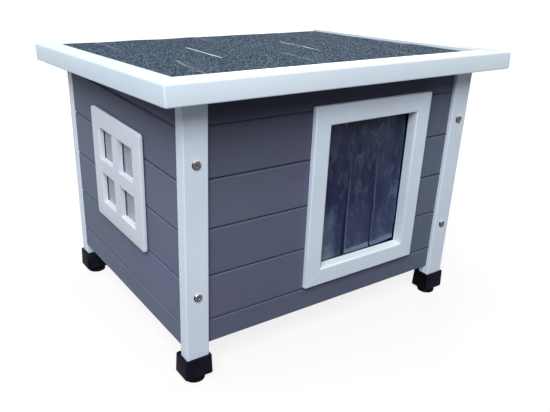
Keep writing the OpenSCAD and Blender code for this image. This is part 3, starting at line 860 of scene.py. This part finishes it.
doorFrame = {
    "nodes": "door_frame_",
    "paint": "door",
    "opening": (0.163, 0.216),  # width and height
    "middle": (0.0525, 0.2275),  # along the wall and up
    "thick": 0.008,
    "corner": 0.0015,  # radius of the frame's outer corners
    "rebate": (0.0006, 0.0025),  # depth and width of the gap behind the outer edge
    "sides": ("head", "sill", "left", "right"),
    "grain": ("x", "x", "z", "z"),
    "wall": Matrix.Translation((0, -0.180, 0)),
}
windowFrame = {
    "nodes": "window_frame_",
    "paint": "window",
    "opening": (0.115, 0.115),
    "middle": (0.0, 0.2375),
    "thick": 0.007,
    "corner": 0.0045,
    "rebate": (0.0022, 0.004),
    "sides": ("head", "sill", "back", "front"),
    "grain": ("y", "y", "z", "z"),
    "wall": Matrix.Translation((-0.246, houseMiddle, 0)) @ Matrix.Rotation(-math.pi / 2, 4, "Z"),
}
frameBoard = {
    "wide": 0.0267,
    "lining": (0.006, 0.009),  # thickness, and depth in the wall
    "round": 0.002,
    "jointEdge": 0.00018,  # the mitred ends' eased edges, which draw the joint
    "cornerFlats": (56, 79),  # slants in degrees of the flats that round an outer corner
}


def modelFrameBoard(s, board, length):
    # lies along X with its opening edge at z = 0 and its face towards -Y
    thick, wide, corner = s["thick"], board["wide"], s["corner"]
    end = length / 2
    close = 0.00001  # what lies nearer than this is in one place
    piece = addCube((length + 2 * wide, thick, wide), (0, -thick / 2, wide / 2))

    def onJoint(place):
        return abs(abs(place.x) - place.z - end) < close

    def cut(place, normal, clear=True):
        selectAll()
        bpy.ops.mesh.bisect(plane_co=place, plane_no=normal, clear_outer=clear, use_fill=clear)

    def shape():
        cut((0, 0, board["lining"][0]), (0, 0, 1), clear=False)
        pickFaces(lambda middle, normal: normal.y > 0.9 and middle.z < board["lining"][0])
        extrude(0, board["lining"][1], 0)
        for side in (-1, 1):
            cut((side * end, 0, 0), (side, 0, -1))
            x, z = side * (end + wide - corner), wide - corner
            for degrees in board["cornerFlats"]:
                way = (side * math.cos(math.radians(degrees)), 0, math.sin(math.radians(degrees)))
                cut((x + corner * way[0], 0, z + corner * way[2]), way)
        pickEdges(lambda place, way: (
            abs(place.y + thick) < close and not onJoint(place) and abs(way.y) < 0.1))
        bpy.ops.mesh.bevel(offset=board["round"], segments=3)
        # of the mitred ends' edges those that show in front
        pickEdges(lambda place, way: onJoint(place) and place.y < -0.35 * thick and abs(way.y) < 0.9)
        bpy.ops.mesh.bevel(offset=board["jointEdge"], segments=1)

    work(piece, shape)
    deep, broad = s["rebate"]
    cutWith(piece, addCube((length + 3 * wide, 2 * deep, 2 * broad), (0, 0, wide)))
    return piece


def addFrame(s, board):
    width, height = s["opening"]
    across, up = s["middle"]
    # along the wall and up from the opening's middle, turn in degrees, length
    spots = (
        (0, height / 2, 0, width), (0, -height / 2, 180, width),
        (-width / 2, 0, -90, height), (width / 2, 0, 90, height))
    for side, grain, (x, z, turn, length) in zip(s["sides"], s["grain"], spots):
        piece = modelFrameBoard(s, board, length)
        place = Matrix.Translation((across + x, 0, up + z))
        piece.data.transform(s["wall"] @ place @ Matrix.Rotation(math.radians(turn), 4, "Y"))
        piece.name = piece.data.name = s["nodes"] + side + "_mitred"
        finishPiece(piece, white[s["paint"]][grain], angle=30)
        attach(piece, "cabin")
        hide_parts(s["nodes"] + side)


addFrame(doorFrame, frameBoard)
addFrame(windowFrame, frameBoard)
print("frames done")

trimJoints = {"eased": 0.0009}


def addTrims(s):
    # the trims as built, with the edges of their mitred ends eased
    for name in ("roof_trim_front", "roof_trim_left", "roof_trim_right"):
        piece = copyTo(nodes[name], name + "_mitred", Matrix.Identity(4))

        def shape():
            selectAll()
            bpy.ops.mesh.remove_doubles(threshold=0.000001)
            bpy.ops.mesh.normals_make_consistent(inside=False)
            bpy.ops.mesh.dissolve_limited(angle_limit=0.002)
            pickFaces(lambda middle, normal: abs(normal.x) > 0.5 and abs(normal.y) > 0.5)
            bpy.ops.mesh.region_to_loop()
            bpy.ops.mesh.bevel(offset=s["eased"], segments=1)

        work(piece, shape)
        finishPiece(piece, finishFor(name), angle=30)
        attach(piece, "roof")
        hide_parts(name)


addTrims(trimJoints)
print("trims done")

# dark beads set in the gap behind the window frame, a painted shade for the shadow in that gap
windowShadowBeads = {
    "plane": -0.2452,  # middle of the beads' depth
    "section": (0.0013, 0.0009),  # depth, and thickness along the wall
    "tall": 0.0476,
    "heights": (0.2039, 0.2711),
    "places": (-0.0487, -0.0016, 0.0186, 0.0657),  # from front to back
    "round": 0.0003,
}


def modelBlock(size, rounding):
    block = addCube(size)
    addModifier(block, "BEVEL", {"width": rounding, "segments": 2, "limit_method": "ANGLE"})
    return block


def addShadowBeads(s):
    shadowBead = modelBlock((*s["section"], s["tall"]), s["round"])
    shadowBeads = [copyTo(shadowBead, "shadowBead", Matrix.Translation((s["plane"], y, z)))
             for y in s["places"] for z in s["heights"]]
    bpy.data.objects.remove(shadowBead)
    piece = finishPiece(joinAs(shadowBeads, "window_shadow_beads"), black)
    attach(piece, "cabin")


addShadowBeads(windowShadowBeads)
print("window seals done")

groovePlugs = {
    "size": (0.0078, 0.0088, 0.0362),
    "across": 0.2181,  # from the house's middle plane
    "along": (-0.1755, 0.1925),  # in the front and in the back posts
    "up": 0.0347,  # their middle's height
    "round": 0.0004,
}


def addPlugs(s):
    # they close the posts' grooves below the lowest boards
    block = modelBlock(s["size"], s["round"])
    plugs = [copyTo(block, "plug", Matrix.Translation((side * s["across"], y, s["up"])))
             for side in (-1, 1) for y in s["along"]]
    bpy.data.objects.remove(block)
    piece = finishPiece(joinAs(plugs, "groove_plugs"), white["posts"]["z"])
    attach(piece, "cabin")


addPlugs(groovePlugs)
print("groove plugs done")

footCap = {
    "wide": 0.040,
    "long": 0.032,
    "tall": 0.0295,
    "corner": (-0.2505, -0.1895),  # the front left cap's outer corner
    "low": 0.0095,  # height of the caps' underside
    "draft": (0.985, 1.035),  # the top's and the underside's size against the middle's
    "round": 0.003,  # radius of the upright edges
    "rim": 0.0012,  # radius of the others
    "wall": 0.0035,
    "pocket": 0.0022,  # how deep the top is sunk inside the wall
}


def modelCap(s):
    # stands on z = 0, its middle over the origin
    cap = addCube((s["wide"], s["long"], s["tall"]), (0, 0, s["tall"] / 2))

    def shape():
        for way, share in zip((1, -1), s["draft"]):
            pickFaces(lambda middle, normal: normal.z * way > 0.9)
            bpy.ops.transform.resize(value=(share, share, 1), center_override=(0, 0, 0))
        pickEdges(lambda place, way: abs(way.z) > 0.9)
        bpy.ops.mesh.bevel(offset=s["round"], segments=4)
        pickFaces(lambda middle, normal: abs(normal.z) > 0.9)
        bpy.ops.mesh.bevel(offset=s["rim"], segments=3)
        pickFaces(lambda middle, normal: normal.z > 0.98)
        bpy.ops.mesh.inset(thickness=s["wall"] - s["rim"])
        extrude(0, 0, -s["pocket"])

    work(cap, shape)
    return cap


levellingFoot = {
    "radius": 0.0145,
    "thick": 0.005,
    "sides": 36,
    "rounds": (0.00256, 0.00096),  # of the pad's upper and lower edge
    "hubInset": 0.006525,  # how far the hub stays inside the pad's flat top
    "hub": 0.0004,  # how far it is raised
    "stud": 0.003,  # radius
    "studSides": 20,
    "ridge": 0.001,  # from one ridge of the thread to the next
    "ridgeEdge": 0.0004,
    "ridges": 27,
    "across": 0.2305,
    "along": (-0.1735, 0.1905),  # the front and the back feet
}


def modelFoot(s):
    # a pad that stands on z = 0, with a threaded stud on it
    pad = addCylinder(s["sides"], s["radius"], s["thick"], s["thick"] / 2)
    upper, lower = s["rounds"]

    def shape():
        pickFaces(lambda middle, normal: normal.z > 0.9)
        bpy.ops.mesh.bevel(offset=upper, segments=4)
        pickFaces(lambda middle, normal: normal.z < -0.9)
        bpy.ops.mesh.bevel(offset=lower, segments=2)
        # the flat top alone, for the round edge's last ring of faces is nearly level too
        pickFaces(lambda middle, normal: normal.z > 0.995)
        bpy.ops.mesh.inset(thickness=s["hubInset"])
        extrude(0, 0, s["hub"])

    work(pad, shape)
    ridge = addCylinder(s["studSides"], s["stud"], s["ridge"])
    addModifier(ridge, "BEVEL", {"width": s["ridgeEdge"], "segments": 1, "limit_method": "ANGLE"})
    parts = [pad]
    for step in range(s["ridges"]):
        lift = s["thick"] + (step + 0.5) * s["ridge"]
        parts.append(copyTo(ridge, "ridge", Matrix.Translation((0, 0, lift))))
    bpy.data.objects.remove(ridge)
    return joinAs(parts, "foot")


def addFeet(cap, foot):
    capModel, footModel = modelCap(cap), modelFoot(foot)
    left, front = cap["corner"][0] + cap["wide"] / 2, cap["corner"][1] + cap["long"] / 2
    for end, y, along in zip(("front", "back"), (front, 2 * houseMiddle - front), foot["along"]):
        for side, x in (("left", left), ("right", -left)):
            corner = end + "_" + side
            place = Matrix.Translation((x, y, cap["low"]))
            capPiece = copyTo(capModel, "cap_" + corner + "_drafted", place)
            finishPiece(capPiece, black, angle=40)
            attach(capPiece, "cabin")
            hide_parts("foot_cap_" + corner)
            place = Matrix.Translation((math.copysign(foot["across"], x), along, 0))
            footPiece = copyTo(footModel, "foot_" + corner + "_threaded", place)
            finishPiece(footPiece, black, angle=40)
            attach(footPiece, "foot_" + corner)
            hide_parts("levelling_foot_" + corner)
    bpy.data.objects.remove(capModel)
    bpy.data.objects.remove(footModel)


addFeet(footCap, levellingFoot)
print("feet done")

stripCurtain = {
    "left": -0.0282,  # the first strip's left edge
    "pitch": 0.0540667,
    "width": 0.0532667,
    "top": 0.3355,
    "hem": 0.1196,
    "depth": -0.166,  # the strips' middle
    "thick": 0.0016,
    "round": 0.0003,
    "bow": 0.0011,  # how far each strip's middle goes back
    "twist": 0.0006,  # how far one edge is behind the other, left and right by turns
    # depth, turn from top to hem, turn from edge to edge, and shift from strip to strip
    "waves": ((0.0005, 9, 0, 2.1), (0.0003, 23, 4, 1)),
    "curl": 0.0022,  # how far the hem comes forward
    "curlZone": (0.95, 0.05),  # where that starts down the strip, and how long it goes on
    "raise": (0.0, 0.0002, 0.0008),  # how far each hem hangs above the sill
    "lift": (0.0, 0.0, 0.0036),  # how far each hem's right corner is lifted
    "edgeRate": 4,  # the right edge's curl grows so fast downwards, until it is full
    "edgeCurl": (0.0, 0.0, 0.0020),  # how far each right edge comes forward
    "edgeZone": (0.8, 0.2),  # where that starts across the strip, and how long it goes on
    "rows": 44,
    "columns": 24,
    # how far the two joins between the strips lean right at the top, and how much more at the hem
    "joins": ((0.0026, 0.0032), (0.0002, 0.0052)),
    "leanRate": 1.5,  # the lean grows so fast downwards, until it is full
}


def modelStrip(s, side, index):
    choose()
    left = s["left"] + index * s["pitch"]
    tall = s["top"] - s["hem"]
    bpy.ops.mesh.primitive_grid_add(
        x_subdivisions=s["columns"], y_subdivisions=s["rows"], size=1,
        location=(left + s["width"] / 2, s["depth"], s["hem"] + tall / 2), rotation=(math.pi / 2, 0, 0))
    bpy.context.object.scale = (s["width"], tall, 1)
    strip = settle()
    for corner in strip.data.uv_layers["UVMap"].data:
        corner.uv.x += 2 * index
    joins = ((0.0, 0.0), *s["joins"], (0.0, 0.0))[index:index + 2]
    hemStart, hemLength = s["curlZone"]
    edgeStart, edgeWidth = s["edgeZone"]
    for vertex in strip.data.vertices:
        across = (vertex.co.x - left) / s["width"]
        down = max(0.0, (s["top"] - vertex.co.z) / tall)
        leftLean, rightLean = (atTop + more * min(1.0, s["leanRate"] * down) for atTop, more in joins)
        vertex.co.x += leftLean * (1 - across) + rightLean * across
        wave = sum(depth * math.sin(along * down + aside * across + shift * index)
                   for depth, along, aside, shift in s["waves"])
        curled = max(0.0, (down - hemStart) / hemLength) ** 2
        twist = s["twist"] * (0.5 - across) * (-1) ** index
        swell = s["bow"] * (1 - (2 * across - 1) ** 2) + wave + twist
        vertex.co.y += down * swell * (1 - curled) - s["curl"] * curled
        vertex.co.z += s["raise"][index] * down + s["lift"][index] * down ** 6 * max(0.0, across) ** 2
        atEdge = max(0.0, (across - edgeStart) / edgeWidth) ** 2
        vertex.co.y -= s["edgeCurl"][index] * min(1.0, s["edgeRate"] * down) * atEdge * (1 - down ** 12)
    addModifier(strip, "SOLIDIFY", {"thickness": s["thick"], "offset": 0})
    addModifier(strip, "BEVEL", {"width": s["round"], "segments": 2, "limit_method": "ANGLE"})
    strip.name = strip.data.name = "vinyl_strip_" + side
    return strip


def addCurtain(s):
    for index, side in enumerate(("left", "middle", "right")):
        strip = finishPiece(modelStrip(s, side, index), stripClear, angle=50)
        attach(strip, "strip_" + side)
        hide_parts("curtain_strip_" + side)


addCurtain(stripCurtain)
print("strip curtain done")

shingles = {
    "left": -0.255,
    "right": 0.255,
    "edges": (0.042, 0.182, 0.314, 0.4453),  # front to back, along the roof's fall
    "tab": 0.176,  # from one slot's middle to the next
    "tabs": (-2, 3),  # the steps of a tab that a course is laid in
    "slot": 0.0046,
    "slotDepth": 0.00015,
    "underTabs": 0.0006,  # how much wider than its slot the sheet in it is
    "gap": 0.0004,  # between two courses
    "middle": -0.015,  # a slot of the first course, halfway along it
    "lean": (math.radians(9), math.radians(4.5), math.radians(3)),  # of each course's slots
    "top": (-0.0046, -0.0036),  # a tab's upper face at its front and its rear edge
    "thick": 0.0006,
    "cuts": 12,
    "ripple": 0.0004,
    # how close the ripples are to the right and to the back, and how they shift by course and tab
    "ripples": ((61, 3), (83, 5)),
    "turnDown": (0.0146, 0.0026),  # the last course's drop over the back edge, and its thickness
    "fall": math.radians(3.7),
    "corner": (0.0, -0.2213867, 0.419),  # the roof's front edge, where its fall starts
}


def modelTab(s, course, middle, wide, drop=0.0):
    # one tab, or the sheet in one slot, cut off at the roof's sides
    front, rear = s["edges"][course], s["edges"][course + 1]
    lean = (rear - front) * math.tan(s["lean"][course]) / 2
    choose()
    bpy.ops.mesh.primitive_plane_add(size=1, location=(middle, (front + rear) / 2, 0))
    bpy.context.object.scale = (wide, rear - front - s["gap"], 1)
    tab = settle()

    def shape():
        pickEdges(lambda place, way: place.y > rear - 0.001)
        bpy.ops.transform.translate(value=(lean, 0, s["top"][1] - drop))
        pickEdges(lambda place, way: place.y < front + 0.001)
        bpy.ops.transform.translate(value=(-lean, 0, s["top"][0] - drop))
        selectAll()
        bpy.ops.mesh.subdivide(number_cuts=s["cuts"])
        for side in (-1, 1):
            edge = s["right"] if side > 0 else s["left"]
            selectAll()
            bpy.ops.mesh.bisect(plane_co=(edge, 0, 0), plane_no=(side, 0, 0), clear_outer=True)

    work(tab, shape)
    (right, byCourse), (back, byTab) = s["ripples"]
    for vertex in tab.data.vertices:
        x, y = vertex.co.x, vertex.co.y
        first, second = right * x + byCourse * course, back * y + byTab * middle
        vertex.co.z += s["ripple"] * math.sin(first) * math.sin(second)
    addModifier(tab, "SOLIDIFY", {"thickness": s["thick"], "offset": -1})
    return tab


def modelUnderlay(s):
    # the sheet under the tabs, which turns down at the back
    front, rear = s["edges"][0], s["edges"][-1]
    drop, thick = s["turnDown"]
    low = s["top"][0] - s["thick"]
    sheet = addCube(
        (s["right"] - s["left"], rear - front, s["thick"]), (0, (front + rear) / 2, low - s["thick"] / 2))

    def turnDown():
        selectAll()
        bpy.ops.mesh.bisect(plane_co=(0, rear - thick, 0), plane_no=(0, 1, 0))
        pickFaces(lambda middle, normal: normal.z < -0.9 and middle.y > rear - thick)
        extrude(0, 0, -drop + s["thick"] - low)

    work(sheet, turnDown)
    sheet.name = sheet.data.name = "shingle_underlay"
    return sheet


def addShingles(s):
    tabs, slots = [], []
    for course in range(len(s["edges"]) - 1):
        shift = s["middle"] + (0.5 if course % 2 == 0 else 0.0) * s["tab"]
        for step in range(*s["tabs"]):
            middle = step * s["tab"] + shift
            if s["left"] - s["tab"] / 2 < middle < s["right"] + s["tab"] / 2:
                tabs.append(modelTab(s, course, middle, s["tab"] - s["slot"]))
            slot = middle + s["tab"] / 2
            if s["left"] < slot < s["right"]:
                slots.append(modelTab(s, course, slot, s["slot"] + s["underTabs"], s["slotDepth"]))
    pieces = (
        finishPiece(joinAs(tabs, "shingle_tabs"), felt, angle=40),
        finishPiece(joinAs(slots, "shingle_slots"), paleFelt, angle=40),
        finishPiece(modelUnderlay(s), felt, angle=40))
    for piece in pieces:
        piece.data.transform(Matrix.Translation(s["corner"]) @ Matrix.Rotation(-s["fall"], 4, "X"))
        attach(piece, "roof")
    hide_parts("roof_felt")


addShingles(shingles)
print("shingles done")
